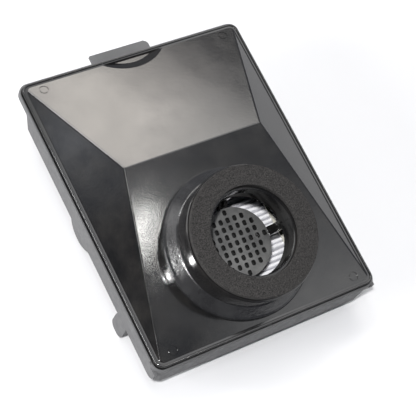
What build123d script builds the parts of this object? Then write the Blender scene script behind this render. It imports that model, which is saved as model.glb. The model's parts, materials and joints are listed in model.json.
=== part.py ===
"""Air filter housing: hipped cover with an inlet collar, on a flanged tray that holds a pleated element.

All sizes are in millimetres. The frame is +Z up towards the inlet, +Y towards the pull tab.
The sub-parts are modelled about the centre of the flange outline and are shifted on export, so that
the origin lies at the bottom centre of the whole housing.
"""
import os
from math import atan2, cos, degrees, radians, sin, tan

from build123d import *

# ---------------------------------------------------------------- driving dimensions
outline_w = 142.2          # flange outline, X (5.6 in)
outline_l = 177.8          # flange outline, Y (7 in)
outline_r = 6.5            # flange corner radius
tab_reach = 6.5            # pull tab beyond the outline

z_rim = 29.1               # top of the cover's rim
z_lip = 26.5               # top of the tray's lip
z_flange_top = 24.9
z_flange_bottom = 23.3
seat_gap = 0.3             # cover to flange
lip_t = 1.15
lip_gap = 0.3              # lip to cover rim

ridge_z = 45.7             # roof ridge height
ridge_y = 17.0             # ridge offset towards the tab
ridge_half = 43.2          # half length of the ridge
roof_base_z = 28.9         # height where the roof planes meet the groove
roof_inset = 2.6           # roof edge inside the cover outline
shell_drop = 2.2           # roof wall, measured vertically

box_w = 112.8              # filter box, outside X
box_l = 154.8              # filter box, outside Y
box_wall = 2.0
box_r = 5.0
ledge_z = 5.0
ledge_w = 2.6

rail_bottom = 15.3
rail_t = 1.8
skirt_bottom = 8.0

scoop_r = 27.5             # thumb recess, arc radius
scoop_reach = 11.0         # recess depth from the cover edge
scoop_depth = 1.2
scoop_ramp = 5.0           # width of the sloped wall of the recess

foot_y = -41.0             # where the collar axis meets the front slope
collar_top = 24.0          # collar face above the slope, along its axis
foam_top = 27.0
foam_r_out = 36.2
foam_r_in = 25.0
bore_r = 23.4              # straight bore behind the foam ring
bore_straight = 17.0       # height where the straight bore starts to taper
throat_r = 22.9
throat_low = 12.0          # lower end of the inner tube
wall_t = 1.9               # collar wall
lip_r = 37.3
neck_r = 36.5
base_r = 42.7

disc_r = 19.9
disc_t = 2.0
disc_z = -0.8
hole_pitch = 4.4
hole_w = 2.5
hole_l = 3.1
hole_depth = 1.3           # blind pockets: no paper shows through them
hole_reach = 17.9          # holes whose centres lie inside this radius
arm_w = 5.0
arm_rise = 5.5             # height of the arm's gusset at the tube

pleat_pitch = 3.1
pleat_top = 20.7
pleat_bottom = 6.4
media_t = 0.45             # media thickness, measured along Y
fold_t = 1.1

# ---------------------------------------------------------------- derived dimensions
hw = outline_w / 2
hl = outline_l / 2
cover_hw = hw - lip_t - lip_gap
cover_hl = hl - lip_t - lip_gap
roof_hw = cover_hw - roof_inset
roof_hl = cover_hl - roof_inset
box_in_w = box_w - 2 * box_wall
box_in_l = box_l - 2 * box_wall
tilt = atan2(ridge_z - roof_base_z, ridge_y + roof_hl)
foot_z = roof_base_z + (foot_y + roof_hl) * tan(tilt)
collar_plane = Plane(origin=(0, foot_y, foot_z), x_dir=(1, 0, 0), z_dir=(0, -sin(tilt), cos(tilt)))
corner_marks = [(-58.0, -80.9), (58.0, -80.9), (-58.0, 80.9), (58.0, 80.9)]


# ---------------------------------------------------------------- helpers
def slab(width, length, radius, z0, z1):
    """Rounded rectangular plate centred on the outline."""
    return Pos(0, 0, z0) * extrude(RectangleRounded(width, length, radius), z1 - z0)


def frame_ring(width, length, radius, wall, z0, z1):
    """Rectangular ring with rounded corners."""
    inner_r = max(radius - wall, 0.5)
    inner = slab(width - 2 * wall, length - 2 * wall, inner_r, z0 - 1, z1 + 1)
    return slab(width, length, radius, z0, z1) - inner


def block(x0, x1, y0, y1, z0, z1):
    """Axis-aligned box from its limits."""
    size = Box(x1 - x0, y1 - y0, z1 - z0)
    return Pos((x0 + x1) / 2, (y0 + y1) / 2, (z0 + z1) / 2) * size


def hip_roof(drop=0.0):
    """Hip roof from two crossing prisms, lowered by drop."""
    low = z_flange_bottom - 12
    top = ridge_z - drop
    base = roof_base_z - drop
    run_front = (top - low) / tan(tilt)
    back_slope = (top - base) / (roof_hl - ridge_y)
    run_back = (top - low) / back_slope
    side_slope = (top - base) / (roof_hw - ridge_half)
    run_side = (top - low) / side_slope
    long_profile = Polyline((ridge_y - run_front, low), (ridge_y + run_back, low), (ridge_y, top), close=True)
    cross_profile = Polyline(
        (-ridge_half - run_side, low),
        (ridge_half + run_side, low),
        (ridge_half, top),
        (-ridge_half, top),
        close=True,
    )
    long_prism = extrude(Plane.YZ * make_face(long_profile), 120, both=True)
    cross_prism = extrude(Plane.XZ * make_face(cross_profile), 260, both=True)
    return long_prism & cross_prism


def turned(points):
    """Ring turned about the collar axis from (radius, height) points."""
    profile = make_face(Polyline(*points, close=True))
    return collar_plane.location * revolve(Plane.XZ * profile, Axis.Z)


def collar_tube(r_in, r_out, h0, h1):
    """Plain ring on the collar axis."""
    return turned([(r_in, h0), (r_out, h0), (r_out, h1), (r_in, h1)])


def side_plate(points, x0, x1):
    """Plate parallel to the YZ plane from (y, z) points."""
    profile = make_face(Polyline(*points, close=True))
    return Pos(x0, 0, 0) * extrude(Plane.YZ * profile, x1 - x0)


parts = {}

# ---------------------------------------------------------------- tray
flange = slab(outline_w, outline_l, outline_r, z_flange_bottom, z_flange_top)
flange -= slab(box_in_w, box_in_l, box_r - box_wall, z_flange_bottom - 1, z_flange_top + 1)
lip = frame_ring(outline_w, outline_l, outline_r, lip_t, z_flange_top, z_lip)
lip_rounded = fillet(lip.edges().group_by(Axis.Z)[-1], 0.3)
latch_notch = block(-1.6, 1.6, -hl - 1, -hl + lip_t + 1, z_lip - 0.8, z_lip + 1)
side_notch = block(-hw - 1, -hw + lip_t + 1, -82.6, -81.0, z_lip - 0.8, z_lip + 1)
parts["tray_flange"] = flange + lip_rounded - latch_notch - side_notch - mirror(side_notch, Plane.YZ)

box = frame_ring(box_w, box_l, box_r, box_wall, 0, z_flange_bottom)
ledge = frame_ring(box_in_w, box_in_l, box_r - box_wall, ledge_w, ledge_z - 1.8, ledge_z)
parts["tray_box"] = box + ledge

grille = slab(box_in_w, box_in_l, box_r - box_wall, 0.8, 3.2)
cell = 12.6
columns = 7
rows = 10
pitch_x = (box_in_w - 6) / columns
pitch_y = (box_in_l - 6) / rows
window = extrude(RectangleRounded(cell, cell, 1.2), 4)
grille -= [spot * window for spot in GridLocations(pitch_x, pitch_y, columns, rows)]
parts["exhaust_grille"] = grille

skirt_w = outline_w - 7.2
skirt = frame_ring(skirt_w, outline_l, 5.0, rail_t, skirt_bottom, z_flange_bottom)
skirt &= block(-hw, hw, -hl - 1, -hl + 8.0, skirt_bottom - 1, z_flange_bottom + 1)
skirt = fillet(skirt.edges().group_by(Axis.Z)[0], 0.4)
parts["front_skirt"] = skirt

rail_near = -hl + 0.6
rail_far = hl - 16.5
rail_points = [
    (rail_near, z_flange_bottom),
    (rail_near, rail_bottom + 4.0),
    (rail_near + 0.5, rail_bottom + 2.1),
    (rail_near + 1.9, rail_bottom + 0.6),
    (rail_near + 4.0, rail_bottom),
    (rail_far - 5.0, rail_bottom),
    (rail_far, z_flange_bottom),
]
rail_left = side_plate(rail_points, -hw, -hw + rail_t)
parts["side_rail_left"] = rail_left
parts["side_rail_right"] = mirror(rail_left, Plane.YZ)

peg_y = -52.8
peg_w = 11.0
peg_t = 5.0
peg_face = Pos(peg_y, rail_bottom / 2 + 1) * RectangleRounded(peg_w, rail_bottom + 2, 4.6)
peg_x = -hw + 0.2
peg_solid = Pos(peg_x, 0, 0) * extrude(Plane.YZ * peg_face, peg_t)
peg_trim = block(peg_x - 1, peg_x + peg_t + 1, peg_y - 10, peg_y + 10, 0, rail_bottom)
peg_left = peg_solid & peg_trim
peg_neck = block(-hw + rail_t, peg_x + peg_t, peg_y - peg_w / 2, peg_y + peg_w / 2, rail_bottom, z_flange_bottom)
peg_left = peg_left + peg_neck
parts["locating_peg_left"] = peg_left
parts["locating_peg_right"] = mirror(peg_left, Plane.YZ)

ear_y = 1.6
ear_r = 12.7
ear_z = rail_bottom + 2.4
ear_disc = Plane.YZ * (Pos(ear_y, ear_z) * Circle(ear_r))
ear_x = -hw + rail_t
ear_solid = Pos(ear_x, 0, 0) * extrude(ear_disc, 2.2)
ear_keep = block(ear_x - 1, ear_x + 4, ear_y - 20, ear_y + 20, 0, z_flange_bottom)
ear_left = ear_solid & ear_keep
parts["half_round_ear_left"] = ear_left
parts["half_round_ear_right"] = mirror(ear_left, Plane.YZ)

tab_w = 37.2
tab_x = -2.9
tab_t = 2.4
tab_y0 = box_l / 2
tab_y1 = hl + tab_reach
tab_x0 = tab_x - tab_w / 2
tab_x1 = tab_x + tab_w / 2
tab_points = [
    (tab_x0, tab_y0),
    (tab_x0, tab_y1),
    (tab_x1 - 2.4, tab_y1),
    (tab_x1 - 0.7, tab_y1 - 1.1),
    (tab_x1, tab_y1 - 2.6),
    (tab_x1, tab_y0),
]
tab_plan = make_face(Polyline(*tab_points, close=True))
tab = Pos(0, 0, z_flange_bottom - tab_t) * extrude(tab_plan, tab_t)
tab_rib = block(tab_x0 + 3, tab_x1 - 4, tab_y1 - 2.2, tab_y1 - 0.8,
                z_flange_bottom - tab_t - 1.4, z_flange_bottom - tab_t)
parts["pull_tab"] = tab + tab_rib

gusset_points = [
    (box_w / 2, z_flange_bottom),
    (box_w / 2, rail_bottom - 3.0),
    (hw - rail_t, rail_bottom + 2.0),
    (hw - rail_t, z_flange_bottom),
]
gusset_face = Plane.XZ * make_face(Polyline(*gusset_points, close=True))
gusset = extrude(gusset_face, 0.8, both=True)
gussets = []
for gy in (-70.0, -32.0, 30.0, 58.0):
    gussets.append(Pos(0, gy, 0) * gusset)
    gussets.append(mirror(Pos(0, gy, 0) * gusset, Plane.YZ))
for gx in (-42.0, -14.0, 14.0, 42.0):
    gussets.append(block(gx - 0.8, gx + 0.8, -hl + rail_t, -box_l / 2, rail_bottom, z_flange_bottom))
parts["flange_gussets"] = Compound(children=[g for item in gussets for g in item.solids()])

# ---------------------------------------------------------------- filter element
element_gap = 0.35
element_w = box_in_w - 2 * element_gap
element_l = box_in_l - 2 * element_gap
frame_wall = 2.0
frame_z0 = ledge_z + 0.3
frame_z1 = 22.1
parts["element_frame"] = frame_ring(element_w, element_l, box_r - box_wall - element_gap, frame_wall,
                                    frame_z0, frame_z1)
parts["element_seal"] = frame_ring(element_w - 0.6, element_l - 0.6, 2.4, 3.4, frame_z1, frame_z1 + 2.4)

media_w = element_w - 2 * frame_wall - 0.4
media_l = element_l - 2 * frame_wall - 0.4
pleats = int(media_l // pleat_pitch)
step = media_l / pleats
start = -media_l / 2
upper = [(start, pleat_bottom + fold_t)]
lower = [(start, pleat_bottom), (start + media_t, pleat_bottom)]
for i in range(pleats):
    peak = start + (i + 0.5) * step
    valley = start + (i + 1) * step
    upper += [(peak - media_t, pleat_top), (peak + media_t, pleat_top), (valley, pleat_bottom + fold_t)]
    lower += [(peak, pleat_top - fold_t), (valley - media_t, pleat_bottom)]
    if i < pleats - 1:
        lower.append((valley + media_t, pleat_bottom))
lower.append((valley, pleat_bottom))
zigzag = make_face(Polyline(*upper, *reversed(lower), close=True))
media = extrude(Plane.YZ * zigzag, media_w / 2, both=True)
parts["pleated_media"] = media

beads = []
for bx in (-35.0, 0.0, 35.0):
    beads.append(block(bx - 0.9, bx + 0.9, -media_l / 2, media_l / 2, pleat_top, pleat_top + 0.8))
parts["media_beads"] = Compound(children=[b.solid() for b in beads])

# ---------------------------------------------------------------- cover
cover_z0 = z_flange_top + seat_gap
cover_r = outline_r - lip_t - lip_gap
groove_z = roof_base_z - 0.4
plate = slab(2 * cover_hw, 2 * cover_hl, cover_r, cover_z0, groove_z)
rim = frame_ring(2 * cover_hw, 2 * cover_hl, cover_r, 1.4, groove_z, z_rim)
rim = fillet(rim.edges().group_by(Axis.Z)[-1], 0.5)
roof = hip_roof()
roof_trim = slab(2 * roof_hw, 2 * roof_hl, cover_r - roof_inset + 0.8, groove_z, ridge_z + 5)
roof = roof & roof_trim
hips = [e for e in roof.edges() if e.center().Z > roof_base_z + 3]
roof = fillet(hips, 2.0)
rim_ring = plate + rim

inner = hip_roof(shell_drop) & slab(2 * roof_hw - 3.6, 2 * roof_hl - 3.6, 2.0, cover_z0 - 1, ridge_z)

back_tilt = atan2(ridge_z - roof_base_z, roof_hl - ridge_y)
scoop_y = cover_hl - scoop_reach + scoop_r
scoop_z = roof_base_z + (roof_hl - scoop_y) * tan(back_tilt)
scoop_plane = Plane(origin=(0, scoop_y, scoop_z), x_dir=(1, 0, 0), z_dir=(0, sin(back_tilt), cos(back_tilt)))
scoop_points = [
    (0, -scoop_depth),
    (scoop_r - scoop_ramp, -scoop_depth),
    (scoop_r, 0),
    (scoop_r, 4),
    (0, 4),
]
scoop = revolve(Plane.XZ * make_face(Polyline(*scoop_points, close=True)), Axis.Z)
scoop = scoop_plane.location * scoop
scoop &= block(-40, 40, cover_hl - 30, cover_hl - 1.9, z_flange_top, ridge_z)
pad_zone = scoop_plane.location * Cylinder(scoop_r + 1.5, 30)
pad_layer = hip_roof(shell_drop) - hip_roof(shell_drop + scoop_depth)
inner -= pad_layer & pad_zone
rim_ring -= inner
rim_ring -= scoop
roof -= inner
roof -= scoop
parts["cover_rim"] = rim_ring

skin = hip_roof() - hip_roof(0.35)
for mx, my in corner_marks:
    mark = Pos(mx, my, z_flange_top) * (Cylinder(2.7, 30) - Cylinder(2.25, 30))
    roof -= mark & skin
bore_cut = collar_plane.location * Cylinder(neck_r - wall_t, 30)
roof -= bore_cut
parts["cover_roof"] = roof

pins = []
for mx, my in corner_marks:
    pin = Pos(mx, my, cover_z0) * Cylinder(2.6, 12, align=(Align.CENTER, Align.CENTER, Align.MIN))
    pins.append((pin & inner).solid())
parts["cover_pins"] = Compound(children=pins)

rib_z0 = frame_z1 + 2.4 + 0.4
hold_downs = []
for rx in (-51.6, 51.6):
    for ry in (-30.0, 34.0):
        rib = block(rx - 0.8, rx + 0.8, ry - 9, ry + 9, rib_z0, ridge_z) & hip_roof(shell_drop)
        hold_downs.append(rib.solid())
parts["hold_down_ribs"] = Compound(children=hold_downs)

# ---------------------------------------------------------------- inlet collar
base_points = [
    (neck_r, 0),
    (base_r, 0),
    (base_r, 1.6),
    (base_r - 0.5, 2.7),
    (base_r - 1.5, 3.5),
    (neck_r + 0.6, 7.4),
    (neck_r, 7.7),
]
parts["inlet_base_ring"] = turned(base_points)

collar_points = [
    (throat_r, throat_low),
    (throat_r + wall_t, throat_low),
    (bore_r + wall_t, bore_straight),
    (bore_r + wall_t, collar_top - 2.0),
    (neck_r - wall_t, collar_top - 2.0),
    (neck_r - wall_t, 0),
    (neck_r, 0),
    (neck_r, collar_top - 3.2),
    (lip_r - 0.2, collar_top - 2.6),
    (lip_r, collar_top - 2.3),
    (lip_r, collar_top - 0.5),
    (lip_r - 0.5, collar_top),
    (bore_r + 0.4, collar_top),
    (bore_r, collar_top - 0.4),
    (bore_r, bore_straight),
]
parts["inlet_collar"] = turned(collar_points)

adhesive_t = 0.25
parts["gasket_adhesive"] = collar_tube(foam_r_in + 0.5, foam_r_out - 0.5, collar_top, collar_top + adhesive_t)
parts["gasket_ring"] = collar_tube(foam_r_in, foam_r_out, collar_top + adhesive_t, foam_top)

disc = Cylinder(disc_r, disc_t, align=(Align.CENTER, Align.CENTER, Align.MIN))
hole = Pos(0, 0, disc_t - hole_depth) * extrude(RectangleRounded(hole_w, hole_l, 1.0), 2 * disc_t)
hole_spots = []
for col in range(-4, 5):
    for row in range(-4, 5):
        hx = col * hole_pitch
        hy = row * hole_pitch
        if (hx * hx + hy * hy) ** 0.5 < hole_reach:
            hole_spots.append(Pos(hx, hy, 0) * hole)
disc -= hole_spots
disc = chamfer(disc.edges().filter_by(GeomType.CIRCLE).sort_by(SortBy.RADIUS)[-1], 0.3)
parts["deflector_disc"] = collar_plane.location * Pos(0, 0, disc_z) * disc

arm_points = [
    (disc_r - 1.0, disc_z),
    (throat_r + wall_t, disc_z),
    (throat_r + wall_t, throat_low),
    (throat_r, throat_low),
    (throat_r, arm_rise),
    (disc_r, disc_z + disc_t),
    (disc_r - 1.0, disc_z + disc_t),
]
fin_points = [
    (disc_r - 1.0, disc_z + disc_t),
    (throat_r, arm_rise - 0.5),
    (throat_r, arm_rise + 2.5),
    (disc_r, disc_z + disc_t + 1.8),
    (disc_r - 1.0, disc_z + disc_t + 1.2),
]
arm = extrude(Plane.XZ * make_face(Polyline(*arm_points, close=True)), arm_w / 2, both=True)
fin = extrude(Plane.XZ * make_face(Polyline(*fin_points, close=True)), 0.5, both=True)
arm = (arm + fin) - Cylinder(disc_r, 60)
spokes = [(collar_plane.location * Rot(0, 0, turn) * arm).solid() for turn in (0, 90, 180, 270)]
parts["deflector_spokes"] = Compound(children=spokes)

# ---------------------------------------------------------------- export
os.makedirs("parts", exist_ok=True)
shift = Pos(0, -tab_reach / 2, 0)
for node, shape in parts.items():
    placed = shift * shape
    solids = placed.solids()
    body = solids[0] if len(solids) == 1 else Compound(children=list(solids))
    body.label = node
    export_step(body, "parts/" + node + ".step")
    box_ = body.bounding_box()
    print(node, len(solids), round(sum(s.volume for s in solids), 1),
          [round(v, 2) for v in (box_.min.X, box_.min.Y, box_.min.Z, box_.max.X, box_.max.Y, box_.max.Z)])
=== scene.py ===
import json
import math

import bmesh
import bpy
from mathutils import Matrix, Vector, noise


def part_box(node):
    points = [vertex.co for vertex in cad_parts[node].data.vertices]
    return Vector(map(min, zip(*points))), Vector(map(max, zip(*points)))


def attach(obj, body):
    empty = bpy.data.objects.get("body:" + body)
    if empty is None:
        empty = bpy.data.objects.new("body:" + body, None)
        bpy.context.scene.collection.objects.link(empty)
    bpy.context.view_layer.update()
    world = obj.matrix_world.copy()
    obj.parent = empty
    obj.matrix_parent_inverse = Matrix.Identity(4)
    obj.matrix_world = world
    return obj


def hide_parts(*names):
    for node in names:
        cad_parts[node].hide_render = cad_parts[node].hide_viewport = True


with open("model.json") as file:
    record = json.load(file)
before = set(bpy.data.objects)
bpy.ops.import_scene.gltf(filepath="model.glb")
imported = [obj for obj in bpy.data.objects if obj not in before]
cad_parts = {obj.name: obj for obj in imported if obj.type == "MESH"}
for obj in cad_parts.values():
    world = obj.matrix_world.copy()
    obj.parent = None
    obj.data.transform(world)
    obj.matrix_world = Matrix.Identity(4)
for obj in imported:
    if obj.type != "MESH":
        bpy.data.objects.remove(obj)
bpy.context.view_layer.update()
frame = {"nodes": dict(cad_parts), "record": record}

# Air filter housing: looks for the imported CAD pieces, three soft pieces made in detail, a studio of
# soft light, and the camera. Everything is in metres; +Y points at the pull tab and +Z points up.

NODES = frame["nodes"]
BODIES = frame["record"]["behaviour"]["bodies"]
MOUNTS = {m["name"]: m for m in frame["record"]["mounts"]}

# The collar's axis, two directions across it, and the middle of the foam's face.
AXIS = Vector(MOUNTS["inlet_seal_face"]["axis"]).normalized()
ACROSS = Vector((1, 0, 0))
ALONG = AXIS.cross(ACROSS).normalized()
SEAL_FACE = Vector(MOUNTS["inlet_seal_face"]["pos_m"])
FOAM_CENTER = SEAL_FACE - ACROSS * SEAL_FACE.dot(ACROSS)


# ------------------------------------------------------------ shader nodes
def add_node(tree, kind, operation=None, inputs=(), **named_inputs):
    """Add a node. Inputs go by place or by name; a socket is linked and a value is set."""
    node = tree.nodes.new(kind)
    if operation:
        node.operation = operation
    by_name = [(key.replace("_", " "), value) for key, value in named_inputs.items()]
    for key, value in [*enumerate(inputs), *by_name]:
        if isinstance(value, bpy.types.NodeSocket):
            tree.links.new(value, node.inputs[key])
        else:
            node.inputs[key].default_value = value
    return node


class Mat:
    """A Principled material whose colour, gloss and grain come from noise in object space."""

    def __init__(self, name, **shader_values):
        self.material = bpy.data.materials.new(name)
        self.material.use_nodes = True
        self.tree = self.material.node_tree
        self.shader = self.tree.nodes["Principled BSDF"]
        self.place = self.tree.nodes.new("ShaderNodeTexCoord").outputs["Object"]
        for key, value in shader_values.items():
            self.shader.inputs[key.replace("_", " ")].default_value = value

    def noise(self, scale, detail=3.0, rough=0.55, stretch=None):
        """Cloudy noise, with scale in waves per metre; stretch multiplies it along X, Y and Z."""
        place = self.place
        if stretch:
            place = add_node(self.tree, "ShaderNodeMapping", Vector=place, Scale=stretch).outputs[0]
        return add_node(self.tree, "ShaderNodeTexNoise", Vector=place, Scale=scale, Detail=detail,
                        Roughness=rough).outputs["Fac"]

    def ramp(self, factor, low, high):
        """Blend from low to high, each a position and a grey or a colour."""
        node = add_node(self.tree, "ShaderNodeValToRGB", Fac=factor)
        for stop, (position, value) in zip(node.color_ramp.elements, (low, high)):
            stop.position = position
            stop.color = (*value, 1) if isinstance(value, tuple) else (value, value, value, 1)
        return node.outputs["Color"]

    def drive(self, socket_name, source):
        self.tree.links.new(source, self.shader.inputs[socket_name])

    def bump(self, height, strength, distance, under=None):
        """Bump from height, laid over the bump named by under."""
        node = add_node(self.tree, "ShaderNodeBump", Height=height, Strength=strength, Distance=distance)
        if under is not None:
            self.tree.links.new(under, node.inputs["Normal"])
        return node.outputs["Normal"]


# ------------------------------------------------------------ materials
def gloss_black():
    """Glossy black plastic of the cover, with a faint haze and shallow waves."""
    mat = Mat("cover_gloss", Specular_IOR_Level=0.62)
    haze = mat.noise(55, detail=6, rough=0.68)
    mat.drive("Base Color", mat.ramp(haze, (0.38, (0.006, 0.006, 0.0065)), (0.80, (0.018, 0.017, 0.016))))
    mat.drive("Roughness", mat.ramp(mat.noise(45, detail=5, rough=0.65), (0.3, 0.07), (0.7, 0.14)))
    waves = mat.bump(mat.noise(14, detail=2, rough=0.5), 0.20, 0.0008)
    mat.drive("Normal", mat.bump(mat.noise(900, rough=0.6), 0.05, 0.0002, under=waves))
    return mat.material


def grained_black():
    """Black plastic of the base ring, with a coarser grain that catches the light in specks."""
    mat = Mat("base_ring_grain", Specular_IOR_Level=0.6)
    cloud = mat.noise(60)
    mat.drive("Base Color", mat.ramp(cloud, (0.3, (0.008, 0.008, 0.009)), (0.7, (0.024, 0.024, 0.025))))
    mat.drive("Roughness", mat.ramp(mat.noise(500, detail=4), (0.35, 0.10), (0.65, 0.22)))
    mat.drive("Normal", mat.bump(mat.noise(420, detail=4, rough=0.7), 0.28, 0.0006))
    return mat.material


def matt_tray():
    """Matt grey-black plastic of the tray."""
    mat = Mat("tray_matt", Specular_IOR_Level=0.22)
    cloud = mat.noise(35, detail=5, rough=0.6)
    mat.drive("Base Color", mat.ramp(cloud, (0.25, (0.080, 0.080, 0.082)), (0.75, (0.108, 0.108, 0.110))))
    mat.drive("Roughness", mat.ramp(mat.noise(300), (0.3, 0.42), (0.7, 0.6)))
    grain = mat.bump(mat.noise(1600, rough=0.7), 0.25, 0.0003)
    mat.drive("Normal", mat.bump(mat.noise(60, detail=2), 0.1, 0.0008, under=grain))
    return mat.material


def satin_disc():
    """Satin grey of the deflector disc, with painted shade: its colour darkens with depth below the face
    so that its pockets read as dark holes.
    """
    shade_from, shade_to, deepest_shade = 0.0002, 0.0008, 0.01
    mat = Mat("disc_satin", Specular_IOR_Level=0.3)
    face = max(v.co.dot(AXIS) for v in NODES["deflector_disc"].data.vertices)
    height = add_node(mat.tree, "ShaderNodeVectorMath", "DOT_PRODUCT", (mat.place, AXIS)).outputs["Value"]
    # Painted shade: the colour falls from full at the face to its darkest in the pockets, standing in for
    # the shade inside them.
    light = add_node(mat.tree, "ShaderNodeMapRange", Value=height, From_Min=face - shade_to,
                     From_Max=face - shade_from, To_Min=deepest_shade, To_Max=1.0).outputs[0]
    tint = mat.ramp(mat.noise(120, detail=4), (0.3, 0.070), (0.7, (0.130, 0.130, 0.128)))
    shaded = add_node(mat.tree, "ShaderNodeVectorMath", "SCALE", (tint,), Scale=light).outputs[0]
    mat.drive("Base Color", shaded)
    mat.drive("Roughness", mat.ramp(mat.noise(400), (0.3, 0.35), (0.7, 0.55)))
    mat.drive("Normal", mat.bump(mat.noise(1400), 0.2, 0.0003))
    return mat.material


def open_foam():
    """Dark foam with fine open pores."""
    mat = Mat("gasket_foam", Specular_IOR_Level=0.2, Roughness=0.9)
    specks = mat.noise(1500, detail=4, rough=0.75)
    mat.drive("Base Color", mat.ramp(specks, (0.36, 0.004), (0.64, (0.046, 0.0435, 0.0425))))
    cells = add_node(mat.tree, "ShaderNodeTexVoronoi", Vector=mat.place, Scale=1500).outputs["Distance"]
    mat.drive("Normal", mat.bump(specks, 0.5, 0.0003, under=mat.bump(cells, 0.5, 0.0004)))
    return mat.material


def filter_paper():
    """White paper whose fibres lie along the pleats."""
    mat = Mat("filter_paper", Specular_IOR_Level=0.25, Roughness=0.85)
    fibres = mat.noise(900, detail=5, rough=0.7, stretch=(0.35, 1.0, 1.0))
    mat.drive("Base Color", mat.ramp(fibres, (0.25, (0.94, 0.94, 0.975)), (0.7, (0.975, 0.975, 0.995))))
    mat.drive("Normal", mat.bump(fibres, 0.3, 0.0003))
    return mat.material


def seal_rubber():
    """Dull black rubber of the element's seal."""
    mat = Mat("seal_rubber", Roughness=0.75)
    mat.drive("Base Color", mat.ramp(mat.noise(200, detail=4), (0.3, 0.02), (0.7, 0.04)))
    mat.drive("Normal", mat.bump(mat.noise(1200), 0.3, 0.0003))
    return mat.material


def frame_plastic():
    """Pale plastic of the element's frame."""
    mat = Mat("element_frame")
    cloud = mat.noise(80, detail=4)
    mat.drive("Base Color", mat.ramp(cloud, (0.3, (0.55, 0.55, 0.54)), (0.7, (0.68, 0.68, 0.66))))
    mat.drive("Roughness", mat.ramp(mat.noise(500), (0.3, 0.5), (0.7, 0.7)))
    mat.drive("Normal", mat.bump(mat.noise(1100), 0.2, 0.0003))
    return mat.material


def hot_glue():
    """Cream hot-melt glue of the beads and of the foam's adhesive layer."""
    mat = Mat("glue_bead")
    cloud = mat.noise(150, detail=4)
    mat.drive("Base Color", mat.ramp(cloud, (0.3, (0.62, 0.60, 0.52)), (0.7, (0.78, 0.76, 0.70))))
    mat.drive("Roughness", mat.ramp(mat.noise(300), (0.3, 0.25), (0.7, 0.45)))
    mat.drive("Normal", mat.bump(mat.noise(350), 0.4, 0.0005))
    return mat.material


GLOSS = gloss_black()
FOAM = open_foam()
PAPER = filter_paper()
RUBBER = seal_rubber()
GLUE = hot_glue()

LOOKS = dict.fromkeys(BODIES["cover"], GLOSS) | dict.fromkeys(BODIES["tray"], matt_tray())
LOOKS["inlet_base_ring"] = grained_black()
LOOKS["deflector_disc"] = satin_disc()
LOOKS["gasket_ring"] = FOAM
LOOKS["gasket_adhesive"] = GLUE
LOOKS["pleated_media"] = PAPER
LOOKS["media_beads"] = GLUE
LOOKS["element_frame"] = frame_plastic()
LOOKS["element_seal"] = RUBBER
for name, material in LOOKS.items():
    NODES[name].data.materials.clear()
    NODES[name].data.materials.append(material)


# ------------------------------------------------------------ soft pieces
def add_piece(name, bm, material, body, node):
    """Make a smooth piece of the mesh; it rides on body and takes the place of the CAD node."""
    bmesh.ops.recalc_face_normals(bm, faces=bm.faces)
    mesh = bpy.data.meshes.new(name)
    bm.to_mesh(mesh)
    bm.free()
    mesh.materials.append(material)
    for polygon in mesh.polygons:
        polygon.use_smooth = True
    piece = bpy.data.objects.new(name, mesh)
    bpy.context.scene.collection.objects.link(piece)
    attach(piece, body)
    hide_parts(node)
    return piece


def unevenness(place, *waves):
    """How far a surface strays at a place; each wave is its waves per metre and its height."""
    return abs(sum(noise.noise(place * scale) * height for scale, height in waves))


def join_rings(bm, rings):
    """Close a tube: quads from each ring of vertices to the next, and from the last to the first."""
    for ring, following in zip(rings, rings[1:] + rings[:1]):
        for j in range(len(ring)):
            k = (j + 1) % len(ring)
            bm.faces.new((ring[j], ring[k], following[k], following[j]))


def foam_profile(inner, outer, depth):
    """Section of the foam ring as (radius, height), up the inner side, over the face and down."""
    edge, cut = 0.00035, 0.00002      # radius of the rounded edges; the sides stand in by cut
    side_steps, edge_steps, face_steps = 6, 4, 25
    side = depth - edge
    turns = [math.pi / 2 * i / edge_steps for i in range(1, edge_steps + 1)]
    points = [(inner + cut, -depth + side * i / side_steps) for i in range(side_steps + 1)]
    points += [(inner + edge - edge * math.cos(w), -edge + edge * math.sin(w)) for w in turns]
    points += [(inner + edge + (outer - inner - 2 * edge) * i / face_steps, 0.0)
               for i in range(1, face_steps + 1)]
    points += [(outer - edge + edge * math.sin(w), -edge + edge * math.cos(w)) for w in turns]
    points += [(outer - cut, -edge - side * i / side_steps) for i in range(1, side_steps + 1)]
    return points


def foam_ring():
    """Die-cut foam gasket with rounded edges and a slightly uneven surface."""
    band, depth, segments = 0.0112, 0.00275, 320
    skin = 0.0001                     # nearer than this to a face, a point sinks along the axis
    low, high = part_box("gasket_ring")
    outer = (high.x - low.x) / 2
    inner = outer - band
    profile = foam_profile(inner, outer, depth)
    bm = bmesh.new()
    rings = []
    for k in range(segments):
        angle = 2 * math.pi * k / segments
        outward = ACROSS * math.cos(angle) + ALONG * math.sin(angle)
        ring = []
        for radius, height in profile:
            p = FOAM_CENTER + outward * radius + AXIS * height
            sink = unevenness(p, (900, 0.00005), (260, 0.00006))
            if -depth + skin < height < -skin:
                p -= outward * (sink if radius > (inner + outer) / 2 else -sink)
            else:
                p -= AXIS * sink
            ring.append(bm.verts.new(p))
        rings.append(ring)
    join_rings(bm, rings)
    add_piece("foam_ring_detail", bm, FOAM, "cover", "gasket_ring")


def rounded_path(half_width, half_length, radius):
    """Points round a rectangle with rounded corners, about 2 mm apart on its sides."""
    spacing, corner_steps = 0.002, 8
    corners = []
    for sign_x, sign_y, start in ((1, 1, 0), (-1, 1, 90), (-1, -1, 180), (1, -1, 270)):
        center = Vector((sign_x * (half_width - radius), sign_y * (half_length - radius), 0))
        for i in range(corner_steps + 1):
            angle = math.radians(start + 90 * i / corner_steps)
            corners.append(center + Vector((math.cos(angle), math.sin(angle), 0)) * radius)
    path = []
    for p, q in zip(corners, corners[1:] + corners[:1]):
        steps = max(1, int((q - p).length / spacing))
        path += [p.lerp(q, j / steps) for j in range(steps)]
    return path


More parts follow.
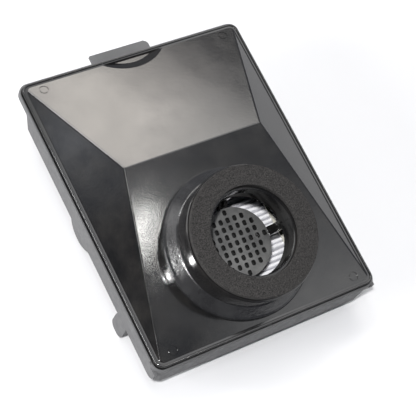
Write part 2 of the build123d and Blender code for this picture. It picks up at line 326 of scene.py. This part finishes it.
def seal_section(band, base, height):
    """Section of the seal as (offset, z): straight sides, a domed top and a groove along it."""
    steps = 12
    half = band * 0.485               # a little narrower than the band
    shoulder, rise = 0.45, 0.53       # shares of the height: the straight side and the dome
    groove_depth, groove_width = 0.00045, 1.1
    points = [(-half, base)]
    for i in range(steps + 1):
        angle = math.pi * i / steps
        groove = groove_depth * math.exp(-((i - steps / 2) / groove_width) ** 2)
        dome = (height * rise - groove) * math.sin(angle)
        points.append((-half * math.cos(angle), base + height * shoulder + dome))
    return points + [(half, base)]


def seal_strip():
    """Foamed rubber strip with a domed, grooved top, swept round the element's frame."""
    band, corner = 0.0034, 0.0012
    foot = 0.0004                     # lower than this, the strip stays even
    low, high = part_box("element_seal")
    middle = (low + high) / 2
    half = (high - low) / 2
    path = rounded_path(half.x - band / 2, half.y - band / 2, corner)
    section = seal_section(band, low.z, high.z - low.z)
    bm = bmesh.new()
    rings = []
    for i, point in enumerate(path):
        along = (path[(i + 1) % len(path)] - path[i - 1]).normalized()
        outward = Vector((along.y, -along.x, 0))
        ring = []
        for offset, z in section:
            p = Vector((middle.x, middle.y, 0)) + point + outward * offset
            p.z = z
            if z > low.z + foot:
                p.z -= unevenness(p, (300, 0.00012))
            ring.append(bm.verts.new(p))
        rings.append(ring)
    join_rings(bm, rings)
    add_piece("element_seal_detail", bm, RUBBER, "element", "element_seal")


def pleat_height(u, low, high):
    """Height of the paper at u, from 0 to 1 across one pleat: a rounded crest between two valleys."""
    crest, flank = 0.48, 0.44         # shares of the half pleat that are crest and steep flank
    crown = 0.0005                    # how far the crest falls before the flank begins
    w = abs(2 * u - 1)
    fall = min(1.0, max(0.0, (w - crest) / flank))
    crest_drop = crown * min(1.0, w / crest) ** 2
    return high - crest_drop - (high - low - crown) * fall * fall * (3 - 2 * fall)


def pleats():
    """Folded paper: rounded pleats that wander a little, made as one sheet and thickened."""
    count, pleat_steps, width_steps = 47, 18, 56
    paper = 0.00035
    side_gap, gap = 0.0003, 0.0004    # clearance inside the box of the CAD paper
    most_sway, most_dip = 0.00045, 0.0004
    low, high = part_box("pleated_media")
    x0, x1 = low.x + side_gap, high.x - side_gap
    y0, y1 = low.y + gap, high.y - gap
    z0, z1 = low.z + gap, high.z - gap
    pitch = (y1 - y0) / count
    stations = [(i, j / pleat_steps) for i in range(count) for j in range(pleat_steps)]
    stations.append((count - 1, 1.0))
    bm = bmesh.new()
    rows = []
    for i, u in stations:
        y = y0 + pitch * (i + u)
        z = pleat_height(u, z0, z1)
        top = (z - z0) / (z1 - z0)                             # 0 in the valley, 1 on the crest
        free = min(1.0, (y - y0) / pitch, (y1 - y) / pitch)    # 0 at the sheet's two ends
        row = []
        for k in range(width_steps + 1):
            x = x0 + (x1 - x0) * k / width_steps
            sway = noise.noise(Vector((x * 60, i * 1.7, 3.1))) * most_sway * top * free
            dip = abs(noise.noise(Vector((x * 90, i * 2.3, 9.4)))) * most_dip * top
            row.append(bm.verts.new((x, y + sway, z - dip)))
        rows.append(row)
    for row, following in zip(rows, rows[1:]):
        for k in range(width_steps):
            bm.faces.new((row[k], row[k + 1], following[k + 1], following[k]))
    piece = add_piece("pleated_media_detail", bm, PAPER, "element", "pleated_media")
    thickness = piece.modifiers.new("thickness", "SOLIDIFY")
    thickness.thickness = paper
    thickness.offset = 0


foam_ring()
seal_strip()
pleats()

# ------------------------------------------------------------ studio dome
world = bpy.data.worlds.new("studio")
bpy.context.scene.world = world
world.use_nodes = True
SKY = world.node_tree
SKY_PLACE = SKY.nodes.new("ShaderNodeTexCoord").outputs["Generated"]


def toward(direction):
    """Cosine of the angle between the sky's direction and this one."""
    return add_node(SKY, "ShaderNodeVectorMath", "DOT_PRODUCT", (SKY_PLACE, direction)).outputs["Value"]


def fade(value, full, none):
    """Smooth step that is 1 at full and 0 at none."""
    rising = none < full
    node = add_node(SKY, "ShaderNodeMapRange", Value=value,
                    From_Min=min(full, none), From_Max=max(full, none),
                    To_Min=0.0 if rising else 1.0, To_Max=1.0 if rising else 0.0)
    node.interpolation_type = "SMOOTHSTEP"
    return node.outputs[0]


def scaled(color, factor):
    return add_node(SKY, "ShaderNodeVectorMath", "SCALE", (color,), Scale=factor).outputs[0]


def glow(center, half, soft, radiance, color=(1, 1, 1), roll=0.0):
    """Soft-edged rectangle of light on the dome; half and soft are sines of angles from its middle."""
    middle = Vector(center).normalized()
    level = Vector((middle.y, -middle.x, 0)).normalized()
    upright = level.cross(middle)
    turn = math.radians(roll)
    u = level * math.cos(turn) + upright * math.sin(turn)
    v = upright * math.cos(turn) - level * math.sin(turn)
    mask = fade(toward(middle), 0.25, 0.05)     # nothing on the far half of the dome
    for axis, reach, edge in zip((u, v), half, soft):
        off = add_node(SKY, "ShaderNodeMath", "ABSOLUTE", (toward(axis),)).outputs[0]
        inside = fade(off, reach - edge, reach + edge)
        mask = add_node(SKY, "ShaderNodeMath", "MULTIPLY", (mask, inside)).outputs[0]
    return scaled(tuple(channel * radiance for channel in color), mask)


def cloud_cover():
    """Uneven brightness of the dome, which gives the glossy cover its mottled reflections."""
    clouds = add_node(SKY, "ShaderNodeTexNoise", Vector=SKY_PLACE, Scale=34.0, Detail=6.0, Roughness=0.68)
    return add_node(SKY, "ShaderNodeMapRange", Value=clouds.outputs["Fac"],
                    From_Min=0.3, From_Max=0.7, To_Min=0.60, To_Max=1.28).outputs[0]


WARM, AMBER, BLUISH = (1.0, 0.975, 0.94), (1.0, 0.88, 0.74), (0.88, 0.92, 1.0)
GLOWS = [
    # The back slope's broad sheen, and the warmer patch at its foot.
    glow((0.261, 0.616, 0.743), (0.185, 0.258), (0.05, 0.028), 5.8, WARM, roll=30),
    glow((0.377, 0.710, 0.595), (0.06, 0.045), (0.05, 0.025), 3.0, AMBER, roll=30),
    # The flat top of the cover's far rim and of the flange.
    glow((0.50, 0.30, 0.80), (0.16, 0.26), (0.10, 0.10), 2.6),
    # The front slope and the collar, which lean the same way.
    glow((0.47, -0.20, 0.86), (0.12, 0.08), (0.08, 0.05), 2.4),
    glow((0.365, -0.02, 0.93), (0.022, 0.03), (0.022, 0.03), 3.0),
    # A bluish blotch on the left slope.
    glow((-0.695, 0.345, 0.63), (0.03, 0.035), (0.04, 0.04), 2.3, BLUISH),
    # The chamfer of the base ring, on its upper left.
    glow((-0.62, 0.70, 0.34), (0.32, 0.20), (0.10, 0.08), 2.6),
    # The bright lines on the two left hips, back and front.
    glow((-0.165, 0.575, 0.80), (0.07, 0.055), (0.03, 0.02), 30.0),
    glow((-0.205, 0.12, 0.97), (0.05, 0.045), (0.02, 0.02), 24.0),
]
sky_light = scaled((0.34, 0.36, 0.40), fade(toward((1, 0, 0)), 0.9, -0.9))
for lit in GLOWS:
    sky_light = add_node(SKY, "ShaderNodeVectorMath", "ADD", (sky_light, lit)).outputs[0]
SKY.links.new(scaled(sky_light, cloud_cover()), SKY.nodes["Background"].inputs["Color"])

# ------------------------------------------------------------ floor
floor_mesh = bpy.data.meshes.new("floor")
bm = bmesh.new()
bmesh.ops.create_grid(bm, x_segments=1, y_segments=1, size=3.0)
bm.to_mesh(floor_mesh)
bm.free()
floor = bpy.data.objects.new("floor", floor_mesh)
bpy.context.scene.collection.objects.link(floor)
floor_white = Mat("floor_white", Base_Color=(0.61, 0.61, 0.62, 1), Roughness=0.9, Specular_IOR_Level=0.1)
floor_mesh.materials.append(floor_white.material)

# ------------------------------------------------------------ lights
AIM = Vector((0, 0, 0.03))            # about the middle of the housing


def softbox(name, direction, distance, size, radiance, color=(1, 1, 1)):
    """Area light that faces the part; its power follows from the radiance of its face."""
    data = bpy.data.lights.new(name, "AREA")
    data.shape = "RECTANGLE"
    data.size, data.size_y = size
    data.energy = radiance * math.pi * size[0] * size[1]
    data.color = color
    light = bpy.data.objects.new(name, data)
    bpy.context.scene.collection.objects.link(light)
    outward = Vector(direction).normalized()
    light.location = AIM + outward * distance
    light.rotation_mode = "QUATERNION"
    light.rotation_quaternion = (-outward).to_track_quat("-Z", "Y")


# The key throws the shadow, the two windows glint on the front slope and the collar, and the low box
# lights the tray's left walls.
WINDOW_LIGHT = (1, 0.99, 0.95)
softbox("key", (-0.43, -0.13, 0.894), 1.5, (0.09, 0.09), 900)
softbox("window_a", (0.350, -0.034, 0.936), 1.5, (0.023, 0.034), 82, WINDOW_LIGHT)
softbox("window_b", (0.352, -0.061, 0.934), 1.5, (0.019, 0.028), 58, WINDOW_LIGHT)
softbox("left_low", (-0.95, 0.12, 0.26), 1.2, (0.60, 0.30), 29)

# ------------------------------------------------------------ camera
AZIMUTH, ELEVATION, ROLL = (math.radians(v) for v in (-58.54, 59.95, 34.67))
TARGET = Vector((-0.00213, -0.01809, 0.0295))
DISTANCE = 0.759
LENS_MM, SENSOR_MM = 119.968, 36.0

back = Vector((math.sin(AZIMUTH) * math.cos(ELEVATION), -math.cos(AZIMUTH) * math.cos(ELEVATION),
               math.sin(ELEVATION)))
right = Vector((math.cos(AZIMUTH), math.sin(AZIMUTH), 0))
up = back.cross(right)
image_right = right * math.cos(ROLL) + up * math.sin(ROLL)
image_up = up * math.cos(ROLL) - right * math.sin(ROLL)
cam_data = bpy.data.cameras.new("camera")
cam_data.sensor_width = SENSOR_MM
cam_data.lens = LENS_MM
cam = bpy.data.objects.new("camera", cam_data)
bpy.context.scene.collection.objects.link(cam)
turn = Matrix((image_right, image_up, back)).transposed().to_4x4()
cam.matrix_world = Matrix.Translation(TARGET + back * DISTANCE) @ turn
bpy.context.scene.camera = cam
bpy.context.scene.view_settings.view_transform = "Standard"
